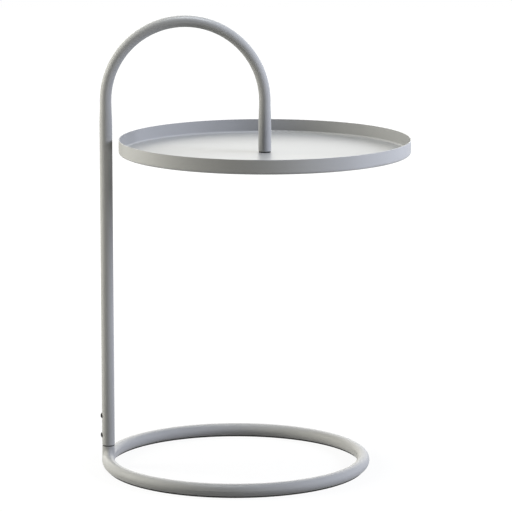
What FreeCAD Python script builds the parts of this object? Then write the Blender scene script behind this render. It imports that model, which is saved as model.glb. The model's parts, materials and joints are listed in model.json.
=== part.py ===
import FreeCAD, Part
import os
from math import cos, pi, radians, sin, sqrt

# A small round tray table. One bent steel tube rises from a floor ring, turns over in a half circle that serves
# as the handle, and comes down in the middle of a rimmed tray. Post, arch, drop leg, ring and tray share one
# vertical plane of symmetry, the XZ plane. +Z is up, +X runs from the post towards the tray, and the origin is
# under the middle of the whole table, at floor level. All sizes are in millimetres.

# Overall sizes
tray_diameter = 376.5
ring_diameter = 350.0
tray_lead = 37.75          # the tray's centre lies this far beyond the ring's centre, away from the post
tray_rim_top = 433.0       # height of the rim's edge above the floor
drop_leg_straight = 65.44  # straight part of the tube between the tray and the start of the arch

# Tube and bar
tube_diameter = 16.5
tube_wall = 1.5
bar_diameter = 16.5
bend_flattening_share = 0.09   # the tube is this much thinner in the plane of its bend
bend_run_out = 32.0            # straight length over which the flattened tube is round again
end_chamfer = 0.3

# Anti-slip strip let into the underside of the floor ring
strip_proud = 1.5
strip_width = 4.0
strip_groove_depth = 2.0
strip_edge = 0.3

# Joint between the ring and the post
collar_rise = 9.3              # the collar's top above the top of the ring
collar_lap = 7.0               # how far the collar's sides reach down the bar
collar_blend = 8.8             # radius of the dressed weld in which the collar's front and back run into the bar
collar_inset = 0.05            # the collar stays this far inside the bar's width, so that the blend can run out
post_gasket_thickness = 1.4
post_gasket_inset = 0.6        # its edge lies this deep between the collar and the tube
spigot_engagement = 56.0
tenon_diameter = 8.0
tenon_depth = 9.0
slip_gap = 0.1                 # radial play of a plain sliding fit

# Screws through the post
stem_screw_diameter = 4.0
stem_screw_length = 8.0
stem_screw_head = 7.6
stem_screw_head_height = 2.2
stem_screw_socket = 2.5
stem_screw_spot_face = 0.3
stem_screw_clearance = 0.2
lower_screw_rise = 13.0        # above the post's lower end
stem_screw_pitch = 26.0

# Tray
tray_sheet = 1.0
tray_rim_height = 18.7
tray_inner_corner = 2.4
rim_edge_radius = 0.4

# What clamps the tray to the drop leg
gasket_thickness = 1.5
gasket_diameter = 15.2
plug_length = 24.0
plug_chamfer = 0.8
tray_bolt_diameter = 8.0
tray_bolt_length = 22.0
tray_bolt_head = 14.0
tray_bolt_head_height = 4.4
tray_bolt_socket = 5.0
tray_bolt_clearance = 0.25
support_disc_diameter = 80.0
support_disc_thickness = 3.0
support_disc_edge = 1.0
washer_diameter = 16.0
washer_thickness = 1.6
lock_washer_diameter = 14.8
lock_washer_thickness = 2.0
lock_washer_split = 0.8
thread_gap = 0.05              # radial play between a screw and its tapped hole
thread_run_out = 2.0           # a tapped hole goes this much deeper than its screw

# Cuts run this far past the faces they open
overrun = 1.0

# Worked out from the above
tube_radius = tube_diameter / 2
bore_radius = tube_radius - tube_wall
bar_radius = bar_diameter / 2
ring_radius = ring_diameter / 2 - bar_radius
ring_height = strip_proud + bar_radius
tray_radius = tray_diameter / 2
flat_radius = tube_radius * (1 - bend_flattening_share)
screw_head_out = tube_radius - stem_screw_spot_face + stem_screw_head_height

# Along X, measured from the post's axis first and then moved so that the table is centred on the origin
post_reach = max(screw_head_out, bar_radius)
tray_reach = ring_radius + tray_lead + tray_radius
post_x = -(tray_reach - post_reach) / 2
ring_x = post_x + ring_radius
tray_x = ring_x + tray_lead
arch_radius = (tray_x - post_x) / 2
arch_x = (post_x + tray_x) / 2

# Up Z
tray_bottom = tray_rim_top - tray_rim_height
tray_floor = tray_bottom + tray_sheet
leg_end = tray_floor + gasket_thickness
arch_height = leg_end + drop_leg_straight
overall_height = arch_height + arch_radius + flat_radius
ring_top = ring_height + bar_radius
collar_top = ring_top + collar_rise
joint_height = collar_top + post_gasket_thickness
lower_screw_height = joint_height + lower_screw_rise
upper_screw_height = lower_screw_height + stem_screw_pitch

up = FreeCAD.Vector(0, 0, 1)
ring_centre = FreeCAD.Vector(ring_x, 0, ring_height)


def point(x, y, z):
    return FreeCAD.Vector(x, y, z)


def rod(radius, x, y, bottom, top):
    return Part.makeCylinder(radius, top - bottom, point(x, y, bottom), up)


def line(start, end):
    return Part.LineSegment(start, end).toShape()


def outline(corners):
    # A closed outline through corners given as (radius, height). A corner given as a pair of pairs is the
    # middle and the end of an arc that starts at the corner before it.
    edges = []
    start = point(corners[0][0], 0, corners[0][1])
    here = start
    for corner in corners[1:]:
        if isinstance(corner[0], tuple):
            middle = point(corner[0][0], 0, corner[0][1])
            end = point(corner[1][0], 0, corner[1][1])
            edges.append(Part.Arc(here, middle, end).toShape())
        else:
            end = point(corner[0], 0, corner[1])
            edges.append(line(here, end))
        here = end
    if not here.isEqual(start, tube_wall / 1000):
        edges.append(line(here, start))
    return Part.Face(Part.Wire(edges))


def turned(corners, x=0):
    # A solid of revolution about the vertical line at x
    solid = outline(corners).revolve(point(0, 0, 0), up, 360)
    solid.translate(point(x, 0, 0))
    return solid


def quarter(centre, radius, turn, sense=1):
    # Middle and end of a quarter circle about centre that starts at the angle turn, clockwise where sense is -1
    middle_angle = radians(turn + sense * 45)
    end_angle = radians(turn + sense * 90)
    middle = (centre[0] + radius * cos(middle_angle), centre[1] + radius * sin(middle_angle))
    end = (centre[0] + radius * cos(end_angle), centre[1] + radius * sin(end_angle))
    return (middle, end)


def hexagon(across_flats, bottom, top):
    corner_radius = across_flats / sqrt(3)
    corners = []
    for side in range(7):
        turn = side * pi / 3
        corners.append(point(corner_radius * cos(turn), corner_radius * sin(turn), bottom))
    return Part.Face(Part.makePolygon(corners)).extrude(point(0, 0, top - bottom))


def button_screw(diameter, length, head, head_height, socket):
    # Shank down -Z from the origin, domed head above it with a hexagon socket half its height deep
    radius = diameter / 2
    head_radius = head / 2
    rim = head_height / 8
    tip = diameter / 8
    dome = head_height - rim
    dome_radius = (head_radius ** 2 + dome ** 2) / (2 * dome)
    dome_centre = head_height - dome_radius
    middle_radius = head_radius / 2
    middle_height = dome_centre + sqrt(dome_radius ** 2 - middle_radius ** 2)
    screw = turned([
        (0, -length), (radius - tip, -length), (radius, tip - length), (radius, 0),
        (head_radius, 0), (head_radius, rim), ((middle_radius, middle_height), (0, head_height)),
    ])
    return screw.cut(hexagon(socket, head_height / 2, head_height + overrun))


# The floor ring, solid bar bent round and butt welded, and the strip that it stands on

def ring_bar():
    return Part.makeTorus(ring_radius, bar_radius, ring_centre, up)


def base_ring():
    tenon_hole = rod(tenon_diameter / 2 + slip_gap, post_x, 0, ring_top - tenon_depth, ring_top + overrun)
    half_width = strip_width / 2 + slip_gap
    groove = turned([
        (ring_radius - half_width, -overrun), (ring_radius + half_width, -overrun),
        (ring_radius + half_width, strip_proud + strip_groove_depth),
        (ring_radius - half_width, strip_proud + strip_groove_depth),
    ], ring_x)
    return ring_bar().cut(tenon_hole).cut(groove)


def floor_strip():
    inner = ring_radius - strip_width / 2
    outer = ring_radius + strip_width / 2
    top = strip_proud + strip_groove_depth
    return turned([
        (inner, top), (inner, strip_edge), (inner + strip_edge, 0), (outer - strip_edge, 0),
        (outer, strip_edge), (outer, top),
    ], ring_x)


# The joint under the post: a coped collar outside, a spigot with a tenon inside

def base_collar():
    radius = tube_radius - collar_inset
    sleeve = turned([
        (0, ring_height), (radius, ring_height), (radius, collar_top - end_chamfer),
        (radius - end_chamfer, collar_top), (0, collar_top),
    ], post_x)
    reach = bar_diameter + 2 * collar_blend
    near = Part.makeBox(2 * reach, 2 * reach, 2 * reach, point(post_x - reach, -reach, ring_height - reach))
    joined = ring_bar().common(near).fuse(sleeve).removeSplitter()
    seams = []
    for edge in joined.Edges:
        box = edge.BoundBox
        beside = max(-box.YMin, box.YMax) < bar_radius + collar_inset
        if beside and box.ZMin > ring_height + collar_inset and box.ZMax < ring_top + collar_inset:
            seams.append(edge)
    floor = ring_top - collar_lap
    below = Part.makeBox(2 * reach, 2 * reach, 2 * reach, point(post_x - reach, -reach, floor - 2 * reach))
    collar = joined.makeFillet(collar_blend, seams).cut(below).cut(ring_bar())
    return collar.cut(rod(bore_radius, post_x, 0, 0, collar_top + overrun)).Solids[0]


def post_gasket():
    outer = tube_radius - post_gasket_inset
    return turned([
        (bore_radius, collar_top), (outer, collar_top), (outer, joint_height), (bore_radius, joint_height),
    ], post_x)


def stem_spigot():
    radius = bore_radius - slip_gap
    top = joint_height + spigot_engagement
    tenon_bottom = ring_top - tenon_depth + slip_gap
    spigot = turned([
        (0, ring_top - collar_lap), (radius, ring_top - collar_lap), (radius, top - plug_chamfer),
        (radius - plug_chamfer, top), (0, top),
    ], post_x).cut(ring_bar())
    spigot = spigot.fuse(rod(tenon_diameter / 2, post_x, 0, tenon_bottom, ring_top)).removeSplitter()
    hole_end = stem_screw_spot_face - tube_radius + stem_screw_length + thread_run_out
    for height in (lower_screw_height, upper_screw_height):
        start = point(post_x - tube_radius, 0, height)
        length = tube_radius + hole_end
        hole = Part.makeCylinder(stem_screw_diameter / 2 + thread_gap, length, start, point(1, 0, 0))
        spigot = spigot.cut(hole)
    return spigot


def stem_screw(height):
    screw = button_screw(stem_screw_diameter, stem_screw_length, stem_screw_head,
                         stem_screw_head_height, stem_screw_socket)
    screw.rotate(point(0, 0, 0), point(0, 1, 0), -90)
    screw.translate(point(post_x - tube_radius + stem_screw_spot_face, 0, height))
    return screw


# The stem: post, arch and drop leg, one tube, drawn once for its outside and once for its bore

def oval_wire(x, height, radius, thin_radius):
    # Thin along X, in the plane of the bend, and full along Y
    oval = Part.Ellipse(point(0, 0, 0), radius, min(thin_radius, radius)).toShape()
    oval.rotate(point(0, 0, 0), up, 90)
    oval.translate(point(x, 0, height))
    return Part.Wire(oval)


def run_out(x, inset):
    # From the round tube, up to the flattened section where the bend starts, eased at both ends
    sections = []
    steps = 4
    for step in range(steps + 1):
        along = step / steps
        eased = (1 - cos(pi * along)) / 2
        thin_radius = tube_radius * (1 - bend_flattening_share * eased) - inset
        height = arch_height - bend_run_out * (1 - along)
        sections.append(oval_wire(x, height, tube_radius - inset, thin_radius))
    return Part.makeLoft(sections, True)


def arch(inset):
    section = Part.Face(oval_wire(post_x, arch_height, tube_radius - inset, flat_radius - inset))
    return section.revolve(point(arch_x, 0, arch_height), point(0, 1, 0), 180)


def chamfered_end(x, bottom, top):
    return turned([
        (0, bottom), (tube_radius - end_chamfer, bottom), (tube_radius, bottom + end_chamfer),
        (tube_radius, top), (0, top),
    ], x)


def stem_outside():
    round_top = arch_height - bend_run_out
    post = chamfered_end(post_x, joint_height, round_top)
    leg = chamfered_end(tray_x, leg_end, round_top)
    return post.multiFuse([run_out(post_x, 0), arch(0), run_out(tray_x, 0), leg])


def stem_bore():
    round_top = arch_height - bend_run_out
    post = rod(bore_radius, post_x, 0, joint_height - overrun, round_top)
    leg = rod(bore_radius, tray_x, 0, leg_end - overrun, round_top)
    return post.multiFuse([run_out(post_x, tube_wall), arch(tube_wall), run_out(tray_x, tube_wall), leg])


def stem_tube():
    tube = stem_outside().cut(stem_bore())
    outwards = point(-1, 0, 0)
    for height in (lower_screw_height, upper_screw_height):
        hole = Part.makeCylinder(stem_screw_diameter / 2 + stem_screw_clearance, tube_radius + overrun,
                                 point(post_x, 0, height), outwards)
        seat = point(post_x - tube_radius + stem_screw_spot_face, 0, height)
        spot_face = Part.makeCylinder(stem_screw_head / 2 + slip_gap, stem_screw_spot_face + overrun,
                                      seat, outwards)
        tube = tube.cut(hole).cut(spot_face)
    return tube


# The tray, one pressed sheet with a centre hole

def tray():
    inner = tray_inner_corner
    outer = inner + tray_sheet
    corner_centre = (tray_radius - outer, tray_bottom + outer)
    hole = tray_bolt_diameter / 2 + tray_bolt_clearance
    edge = rim_edge_radius
    inside = tray_radius - tray_sheet
    return turned([
        (hole, tray_bottom),
        (corner_centre[0], tray_bottom),
        quarter(corner_centre, outer, -90),
        (tray_radius, tray_rim_top - edge),
        quarter((tray_radius - edge, tray_rim_top - edge), edge, 0),
        (inside + edge, tray_rim_top),
        quarter((inside + edge, tray_rim_top - edge), edge, 90),
        (inside, corner_centre[1]),
        quarter(corner_centre, inner, 0, -1),
        (hole, tray_floor),
    ], tray_x)


# What holds the tray: a plug in the drop leg above it, and a disc, washers and a bolt below it

def leg_plug():
    radius = bore_radius - slip_gap
    top = leg_end + plug_length
    hole = tray_bolt_diameter / 2 + thread_gap
    bolt_seat = tray_bottom - support_disc_thickness - washer_thickness - lock_washer_thickness
    hole_top = bolt_seat + tray_bolt_length + thread_run_out
    return turned([
        (hole, leg_end), (radius - plug_chamfer, leg_end), (radius, leg_end + plug_chamfer),
        (radius, top - plug_chamfer), (radius - plug_chamfer, top), (0, top), (0, hole_top), (hole, hole_top),
    ], tray_x)


def tray_gasket():
    hole = tray_bolt_diameter / 2 + tray_bolt_clearance
    return turned([
        (hole, tray_floor), (gasket_diameter / 2, tray_floor), (gasket_diameter / 2, leg_end), (hole, leg_end),
    ], tray_x)


def support_disc():
    hole = tray_bolt_diameter / 2 + tray_bolt_clearance
    radius = support_disc_diameter / 2
    bottom = tray_bottom - support_disc_thickness
    edge = support_disc_edge
    return turned([
        (hole, bottom), (radius - edge, bottom), quarter((radius - edge, bottom + edge), edge, -90),
        (radius, tray_bottom), (hole, tray_bottom),
    ], tray_x)


def tray_washer():
    hole = tray_bolt_diameter / 2 + tray_bolt_clearance
    top = tray_bottom - support_disc_thickness
    bottom = top - washer_thickness
    return turned([(hole, bottom), (washer_diameter / 2, bottom), (washer_diameter / 2, top), (hole, top)], tray_x)


def tray_lock_washer():
    hole = tray_bolt_diameter / 2 + thread_gap
    top = tray_bottom - support_disc_thickness - washer_thickness
    bottom = top - lock_washer_thickness
    radius = lock_washer_diameter / 2
    ring = turned([(hole, bottom), (radius, bottom), (radius, top), (hole, top)], tray_x)
    split = Part.makeBox(radius + overrun, lock_washer_split, lock_washer_thickness + 2 * overrun,
                         point(tray_x, -lock_washer_split / 2, bottom - overrun))
    return ring.cut(split)


def tray_bolt():
    bolt = button_screw(tray_bolt_diameter, tray_bolt_length, tray_bolt_head,
                        tray_bolt_head_height, tray_bolt_socket)
    bolt.rotate(point(0, 0, 0), point(1, 0, 0), 180)
    seat = tray_bottom - support_disc_thickness - washer_thickness - lock_washer_thickness
    bolt.translate(point(tray_x, 0, seat))
    return bolt


pieces = {
    "base_ring": base_ring(),
    "floor_strip": floor_strip(),
    "base_collar": base_collar(),
    "stem_spigot": stem_spigot(),
    "post_gasket": post_gasket(),
    "stem_tube": stem_tube(),
    "lower_stem_screw": stem_screw(lower_screw_height),
    "upper_stem_screw": stem_screw(upper_screw_height),
    "leg_plug": leg_plug(),
    "tray_gasket": tray_gasket(),
    "tray": tray(),
    "support_disc": support_disc(),
    "tray_washer": tray_washer(),
    "tray_lock_washer": tray_lock_washer(),
    "tray_bolt": tray_bolt(),
}

os.makedirs("parts", exist_ok=True)
for name, shape in pieces.items():
    shape.exportStep("parts/" + name + ".step")
    box = shape.BoundBox
    print(name, "solids", len(shape.Solids), "valid", shape.isValid(), "volume", round(shape.Volume),
          "z", round(box.ZMin, 2), round(box.ZMax, 2), "x", round(box.XMin, 2), round(box.XMax, 2))
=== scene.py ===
import json
import math

import bmesh
import bpy
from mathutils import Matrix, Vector

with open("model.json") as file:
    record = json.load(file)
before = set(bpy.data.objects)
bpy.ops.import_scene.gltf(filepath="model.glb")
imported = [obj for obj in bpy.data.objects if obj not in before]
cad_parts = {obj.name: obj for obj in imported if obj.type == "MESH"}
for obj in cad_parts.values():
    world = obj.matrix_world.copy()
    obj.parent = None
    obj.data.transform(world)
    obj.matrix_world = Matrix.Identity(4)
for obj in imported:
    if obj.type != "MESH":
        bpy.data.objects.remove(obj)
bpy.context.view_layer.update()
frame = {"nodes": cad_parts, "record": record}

print("frame loaded:", len(frame["nodes"]), "nodes")


# Small helpers

def linearColour(hexValue):
    # sRGB hex such as 9a9da0 to the linear colour that shaders want
    channels = []
    for start in (0, 2, 4):
        value = int(hexValue[start:start + 2], 16) / 255
        if value <= 0.04045:
            channels.append(value / 12.92)
        else:
            channels.append(((value + 0.055) / 1.055) ** 2.4)
    return (channels[0], channels[1], channels[2], 1.0)


def addNode(tree, kind, settings=None, inputs=None, links=None):
    # One node with its properties, its socket values and what feeds its sockets
    node = tree.nodes.new(kind)
    for name, value in (settings or {}).items():
        setattr(node, name, value)
    for name, value in (inputs or {}).items():
        node.inputs[name].default_value = value
    for name, source in (links or {}).items():
        tree.links.new(source, node.inputs[name])
    return node


def newMaterial(name):
    material = bpy.data.materials.new(name)
    material.use_nodes = True
    material.node_tree.nodes.clear()
    return material, material.node_tree


def perMetre(sizeMm):
    # A texture's scale for features of this size, as object coordinates are in metres
    return 1000 / sizeMm


def ringsPerMetre(spacingMm):
    # The wave texture turns once in 2 pi / 20 of its scaled coordinate
    return perMetre(spacingMm) * 2 * math.pi / 20


def middleOf(nodeName):
    # The middle of a frame node's box
    corners = [vertex.co for vertex in frame["nodes"][nodeName].data.vertices]
    low = [min(corner[axis] for corner in corners) for axis in range(3)]
    high = [max(corner[axis] for corner in corners) for axis in range(3)]
    return [(low[axis] + high[axis]) / 2 for axis in range(3)]


# Polyester powder coat on steel, sprayed and baked. It is satin, so that every highlight is a broad soft
# band, with a very fine orange peel and a hardly visible cloudiness where the coat is thicker or thinner.

powderCoat = {
    "thinTone": "808080",
    "thickTone": "888888",
    "cloudMm": 55.0,
    "cloudDetail": 3.0,
    "speckTone": "929292",
    "speckMm": 0.8,          # powder grains that melted last, coarser than the real 0.2 mm so that they show
    "speckDetail": 1.0,
    "speckFrom": (0.55, 0.75),
    "speckAmount": 0.18,
    "roughness": (0.36, 0.42),
    "ior": 1.5,
    "peelMm": 1.6,           # spacing of the orange peel, drawn a little coarser than the real 0.8 mm
    "peelDetail": 1.5,
    "peelDepthMm": 0.02,
    "peelStrength": 0.35,
}


def makePowderCoat():
    material, tree = newMaterial("satinPowderCoat")
    where = addNode(tree, "ShaderNodeTexCoord").outputs["Object"]
    cloud = addNode(tree, "ShaderNodeTexNoise", {}, {
        "Scale": perMetre(powderCoat["cloudMm"]), "Detail": powderCoat["cloudDetail"]}, {"Vector": where})
    tone = addNode(tree, "ShaderNodeMixRGB", {}, {
        "Color1": linearColour(powderCoat["thinTone"]), "Color2": linearColour(powderCoat["thickTone"]),
    }, {"Fac": cloud.outputs["Fac"]})
    speck = addNode(tree, "ShaderNodeTexNoise", {}, {
        "Scale": perMetre(powderCoat["speckMm"]), "Detail": powderCoat["speckDetail"]}, {"Vector": where})
    speckle = addNode(tree, "ShaderNodeMapRange", {}, {
        "From Min": powderCoat["speckFrom"][0], "From Max": powderCoat["speckFrom"][1],
        "To Max": powderCoat["speckAmount"]}, {"Value": speck.outputs["Fac"]})
    speckled = addNode(tree, "ShaderNodeMixRGB", {}, {"Color2": linearColour(powderCoat["speckTone"])},
                       {"Fac": speckle.outputs[0], "Color1": tone.outputs["Color"]})
    gloss = addNode(tree, "ShaderNodeMapRange", {}, {
        "To Min": powderCoat["roughness"][0], "To Max": powderCoat["roughness"][1],
    }, {"Value": cloud.outputs["Fac"]})
    peel = addNode(tree, "ShaderNodeTexNoise", {}, {
        "Scale": perMetre(powderCoat["peelMm"]), "Detail": powderCoat["peelDetail"]}, {"Vector": where})
    bump = addNode(tree, "ShaderNodeBump", {}, {
        "Strength": powderCoat["peelStrength"], "Distance": powderCoat["peelDepthMm"] / 1000,
    }, {"Height": peel.outputs["Fac"]})
    shader = addNode(tree, "ShaderNodeBsdfPrincipled", {}, {"IOR": powderCoat["ior"]}, {
        "Base Color": speckled.outputs["Color"], "Roughness": gloss.outputs[0],
        "Normal": bump.outputs["Normal"]})
    addNode(tree, "ShaderNodeOutputMaterial", {}, {}, {"Surface": shader.outputs["BSDF"]})
    return material


# Black oxide on the socket screws: the steel itself turned nearly black, with an oily dull sheen and faint
# brown

blackOxide = {
    "tone": "1b1b1b",
    "brownTone": "2a2520",
    "blotchMm": 2.5,
    "blotchDetail": 4.0,
    "roughness": (0.34, 0.5),
    "grainMm": 0.3,
    "grainDepthMm": 0.01,
    "grainStrength": 0.4,
    "metallic": 0.8,
}


def makeBlackOxide():
    material, tree = newMaterial("blackOxideSteel")
    where = addNode(tree, "ShaderNodeTexCoord").outputs["Object"]
    blotch = addNode(tree, "ShaderNodeTexNoise", {}, {
        "Scale": perMetre(blackOxide["blotchMm"]), "Detail": blackOxide["blotchDetail"]}, {"Vector": where})
    tone = addNode(tree, "ShaderNodeMixRGB", {}, {
        "Color1": linearColour(blackOxide["tone"]), "Color2": linearColour(blackOxide["brownTone"]),
    }, {"Fac": blotch.outputs["Fac"]})
    gloss = addNode(tree, "ShaderNodeMapRange", {}, {
        "To Min": blackOxide["roughness"][0], "To Max": blackOxide["roughness"][1],
    }, {"Value": blotch.outputs["Fac"]})
    grain = addNode(tree, "ShaderNodeTexNoise", {}, {"Scale": perMetre(blackOxide["grainMm"])},
                    {"Vector": where})
    bump = addNode(tree, "ShaderNodeBump", {}, {
        "Strength": blackOxide["grainStrength"], "Distance": blackOxide["grainDepthMm"] / 1000,
    }, {"Height": grain.outputs["Fac"]})
    shader = addNode(tree, "ShaderNodeBsdfPrincipled", {}, {"Metallic": blackOxide["metallic"]}, {
        "Base Color": tone.outputs["Color"], "Roughness": gloss.outputs[0],
        "Normal": bump.outputs["Normal"]})
    addNode(tree, "ShaderNodeOutputMaterial", {}, {}, {"Surface": shader.outputs["BSDF"]})
    return material


# Zinc plate on the hidden fasteners: bluish silver, slightly cloudy, over faces turned on a lathe about the
# tray's axis

zincPlate = {
    "brightTone": "c3c7cb",
    "cloudyTone": "a2a8ad",
    "cloudMm": 6.0,
    "cloudDetail": 3.0,
    "turningMm": 0.4,        # feed of the turning marks, drawn coarser than the real 0.1 mm
    "turningDistortion": 0.6,
    "turningDepthMm": 0.01,
    "turningStrength": 0.5,
    "roughness": (0.24, 0.4),
    "metallic": 1.0,
}


def makeZincPlate():
    material, tree = newMaterial("zincPlatedSteel")
    where = addNode(tree, "ShaderNodeTexCoord").outputs["Object"]
    axis = middleOf("tray_bolt")
    centred = addNode(tree, "ShaderNodeMapping", {}, {"Location": (-axis[0], -axis[1], 0)},
                      {"Vector": where})
    cloud = addNode(tree, "ShaderNodeTexNoise", {}, {
        "Scale": perMetre(zincPlate["cloudMm"]), "Detail": zincPlate["cloudDetail"]}, {"Vector": where})
    tone = addNode(tree, "ShaderNodeMixRGB", {}, {
        "Color1": linearColour(zincPlate["brightTone"]), "Color2": linearColour(zincPlate["cloudyTone"]),
    }, {"Fac": cloud.outputs["Fac"]})
    gloss = addNode(tree, "ShaderNodeMapRange", {}, {
        "To Min": zincPlate["roughness"][0], "To Max": zincPlate["roughness"][1],
    }, {"Value": cloud.outputs["Fac"]})
    turning = addNode(tree, "ShaderNodeTexWave", {"wave_type": "RINGS", "rings_direction": "Z"}, {
        "Scale": ringsPerMetre(zincPlate["turningMm"]), "Distortion": zincPlate["turningDistortion"],
    }, {"Vector": centred.outputs["Vector"]})
    bump = addNode(tree, "ShaderNodeBump", {}, {
        "Strength": zincPlate["turningStrength"], "Distance": zincPlate["turningDepthMm"] / 1000,
    }, {"Height": turning.outputs["Fac"]})
    shader = addNode(tree, "ShaderNodeBsdfPrincipled", {}, {"Metallic": zincPlate["metallic"]}, {
        "Base Color": tone.outputs["Color"], "Roughness": gloss.outputs[0],
        "Normal": bump.outputs["Normal"]})
    addNode(tree, "ShaderNodeOutputMaterial", {}, {}, {"Surface": shader.outputs["BSDF"]})
    return material


# Black rubber: the gaskets are cut from matt nitrile sheet, and the strip under the ring is extruded, which
# leaves faint lines along it. Both have the grey bloom that black rubber gets. Their near-black is partly
# painted
# shade: it stands in for the dark shadow lines at the post's joints and the contact shadow under the ring.

blackRubberPaintedShade = {
    # near-black rubber, partly painted shade for the shadow lines at the joints and under the ring
    "tone": "151515",
    "bloomTone": "242423",
    "bloomMm": 8.0,
    "bloomDetail": 4.0,
    "roughness": 0.72,
    "grainMm": 0.5,
    "grainDepthMm": 0.03,
    "dieLineMm": 0.6,
    "dieLineDistortion": 0.3,
    "dieLineDepthMm": 0.03,
    "reliefStrength": 0.5,
}


def makeRubberPaintedShade(name, extruded):
    material, tree = newMaterial(name)
    where = addNode(tree, "ShaderNodeTexCoord").outputs["Object"]
    bloom = addNode(tree, "ShaderNodeTexNoise", {}, {
        "Scale": perMetre(blackRubberPaintedShade["bloomMm"]), "Detail": blackRubberPaintedShade["bloomDetail"]}, {"Vector": where})
    tone = addNode(tree, "ShaderNodeMixRGB", {}, {
        "Color1": linearColour(blackRubberPaintedShade["tone"]), "Color2": linearColour(blackRubberPaintedShade["bloomTone"]),
    }, {"Fac": bloom.outputs["Fac"]})
    if extruded:
        middle = middleOf("floor_strip")
        centred = addNode(tree, "ShaderNodeMapping", {}, {"Location": (-middle[0], -middle[1], 0)},
                          {"Vector": where})
        relief = addNode(tree, "ShaderNodeTexWave", {"wave_type": "RINGS", "rings_direction": "Z"}, {
            "Scale": ringsPerMetre(blackRubberPaintedShade["dieLineMm"]), "Distortion": blackRubberPaintedShade["dieLineDistortion"],
        }, {"Vector": centred.outputs["Vector"]})
        depthMm = blackRubberPaintedShade["dieLineDepthMm"]
    else:
        relief = addNode(tree, "ShaderNodeTexNoise", {}, {"Scale": perMetre(blackRubberPaintedShade["grainMm"])},
                         {"Vector": where})
        depthMm = blackRubberPaintedShade["grainDepthMm"]
    bump = addNode(tree, "ShaderNodeBump", {}, {
        "Strength": blackRubberPaintedShade["reliefStrength"], "Distance": depthMm / 1000,
    }, {"Height": relief.outputs["Fac"]})
    shader = addNode(tree, "ShaderNodeBsdfPrincipled", {}, {"Roughness": blackRubberPaintedShade["roughness"]}, {
        "Base Color": tone.outputs["Color"], "Normal": bump.outputs["Normal"]})
    addNode(tree, "ShaderNodeOutputMaterial", {}, {}, {"Surface": shader.outputs["BSDF"]})
    return material


finishes = {
    "coated_steel": makePowderCoat(),
    "black_screws": makeBlackOxide(),
    "zinc_steel": makeZincPlate(),
    # the gaskets and the strip are black rubber whose dark is partly painted shade
    "gasket_rubber": makeRubberPaintedShade("nitrileRubberPaintedShade", False),
    "strip_rubber": makeRubberPaintedShade("extrudedRubberPaintedShade", True),
}
for part in frame["record"]["subparts"]:
    node = frame["nodes"][part["node"]]
    node.data.materials.clear()
    node.data.materials.append(finishes[part["material_slot"]])
print("materials on the frame's nodes")


# The studio: soft panels above, left, right and behind, and a white board that stands on the floor in front
# and throws light up under the tray. The camera sees none of them, and the two at the sides leave no mirror
# image either, or the tray's floor would turn to plain white from the side. The floor and the surroundings
# are white to the camera and in a mirror image, and only there.

studio = {
    "surroundings": "ffffff",
    "surroundingsShare": 1.0,     # the surroundings are as white in a mirror image as to the camera
    "floorTone": "8c8c8c",        # what the floor throws back at the table
    "floorWhite": (1.15, 1.35),   # how white the floor looks beside the table and further off
    "floorWhiteFrom": (0.5, 1.5),
    "cameraWhiteShare": 0.8,      # the rest is the floor's own shade, so that the table's shadow stays
    "mirrorWhiteShare": 0.5,
    "floorHalf": 6.0,
}

panels = {
    "topPanel": {
        "place": (0.0, 0.0, 2.1), "aim": (0.0, 0.0, 0.3), "size": (0.9, 0.9),
        "watts": 27.2, "colour": "f6fbff", "mirrored": True},
    "leftPanel": {
        "place": (-1.7, 0.2, 0.8), "aim": (0.0, 0.0, 0.3), "size": (0.8, 1.2),
        "watts": 68.0, "colour": "fffdf1", "mirrored": False},
    "rightPanel": {
        "place": (1.55, -0.25, 0.88), "aim": (0.1, 0.0, 0.45), "size": (0.9, 0.6),
        "watts": 57.0, "colour": "e9efff", "mirrored": False},
    "frontBoard": {
        "place": (0.0, -1.27, 0.18), "aim": (0.0, -0.77, 0.75), "size": (2.4, 0.45),
        "watts": 6.6, "colour": "fffdef", "mirrored": True},
    "backdropPanel": {
        "place": (0.0, 2.2, 1.2), "aim": (0.0, 0.0, 0.3), "size": (3.0, 2.2),
        "watts": 29.5, "colour": "fffdf4", "mirrored": True},
}


def raysThatSee(tree, cameraShare, mirrorShare):
    # One share for what the camera sees, another for what shows in a reflection or through clear glass, and
    # 0 for light on its way to a surface
    path = addNode(tree, "ShaderNodeLightPath")
    mirrored = addNode(tree, "ShaderNodeMath", {"operation": "MAXIMUM"}, {},
                       {0: path.outputs["Is Glossy Ray"], 1: path.outputs["Is Transmission Ray"]})
    mirrorPart = addNode(tree, "ShaderNodeMath", {"operation": "MULTIPLY"}, {1: mirrorShare},
                         {0: mirrored.outputs[0]})
    return addNode(tree, "ShaderNodeMath", {"operation": "MULTIPLY_ADD"}, {1: cameraShare},
                   {0: path.outputs["Is Camera Ray"], 2: mirrorPart.outputs[0]}).outputs[0]


def makeWorld():
    world = bpy.data.worlds.new("whiteStudio")
    bpy.context.scene.world = world
    world.use_nodes = True
    tree = world.node_tree
    tree.nodes.clear()
    share = raysThatSee(tree, studio["surroundingsShare"], studio["surroundingsShare"])
    background = addNode(tree, "ShaderNodeBackground", {}, {"Color": linearColour(studio["surroundings"])},
                         {"Strength": share})
    addNode(tree, "ShaderNodeOutputWorld", {}, {}, {"Surface": background.outputs[0]})


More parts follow.
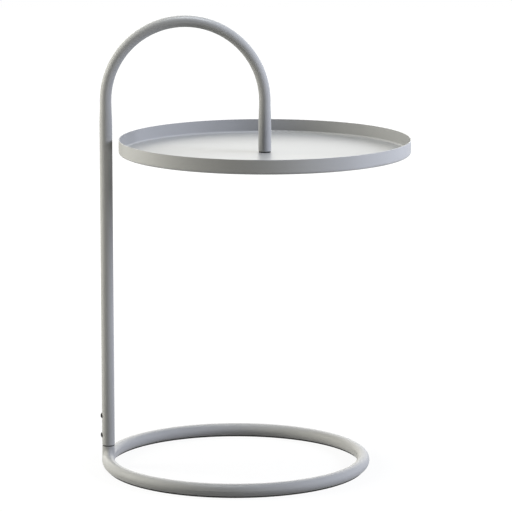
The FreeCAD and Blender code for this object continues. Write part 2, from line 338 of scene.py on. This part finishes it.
def makeFloor():
    sheet = bmesh.new()
    bmesh.ops.create_grid(sheet, x_segments=1, y_segments=1, size=studio["floorHalf"])
    mesh = bpy.data.meshes.new("floor")
    sheet.to_mesh(mesh)
    sheet.free()
    floor = bpy.data.objects.new("floor", mesh)
    bpy.context.scene.collection.objects.link(floor)
    material, tree = newMaterial("whiteFloor")
    matt = addNode(tree, "ShaderNodeBsdfDiffuse", {}, {"Color": linearColour(studio["floorTone"])})
    where = addNode(tree, "ShaderNodeTexCoord").outputs["Object"]
    distance = addNode(tree, "ShaderNodeVectorMath", {"operation": "LENGTH"}, {}, {0: where})
    brightness = addNode(tree, "ShaderNodeMapRange", {}, {
        "From Min": studio["floorWhiteFrom"][0], "From Max": studio["floorWhiteFrom"][1],
        "To Min": studio["floorWhite"][0], "To Max": studio["floorWhite"][1],
    }, {"Value": distance.outputs["Value"]})
    white = addNode(tree, "ShaderNodeEmission", {}, {}, {"Strength": brightness.outputs[0]})
    share = raysThatSee(tree, studio["cameraWhiteShare"], studio["mirrorWhiteShare"])
    mix = addNode(tree, "ShaderNodeMixShader", {}, {}, {0: share, 1: matt.outputs[0], 2: white.outputs[0]})
    addNode(tree, "ShaderNodeOutputMaterial", {}, {}, {"Surface": mix.outputs[0]})
    # Its white is a look and no lamp, so Cycles needn't look for light there
    material.cycles.emission_sampling = "NONE"
    mesh.materials.append(material)


def makePanels():
    for name, panel in panels.items():
        light = bpy.data.lights.new(name, "AREA")
        light.shape = "RECTANGLE"
        light.size, light.size_y = panel["size"]
        light.energy = panel["watts"]
        light.color = linearColour(panel["colour"])[:3]
        lamp = bpy.data.objects.new(name, light)
        bpy.context.scene.collection.objects.link(lamp)
        lamp.location = panel["place"]
        facing = Vector(panel["aim"]) - Vector(panel["place"])
        lamp.rotation_euler = facing.to_track_quat("-Z", "Y").to_euler()
        lamp.visible_camera = False
        lamp.visible_glossy = panel["mirrored"]


makeWorld()
makeFloor()
makePanels()
print("studio ready:", len(panels), "panels")


# The camera stands about four metres off and looks slightly down, so that the rings keep their perspective

camera = {
    "place": (0.0019, -4.0436, 1.0064),
    "downDegrees": 10.193,
    "lensMm": 222.92,
    "sensorMm": 36.0,
}


def makeCamera():
    data = bpy.data.cameras.new("camera")
    data.lens = camera["lensMm"]
    data.sensor_width = camera["sensorMm"]
    stand = bpy.data.objects.new("camera", data)
    bpy.context.scene.collection.objects.link(stand)
    stand.location = camera["place"]
    stand.rotation_euler = (math.radians(90 - camera["downDegrees"]), 0, 0)
    bpy.context.scene.camera = stand


makeCamera()
bpy.context.scene.view_settings.view_transform = "Standard"
print("camera placed")
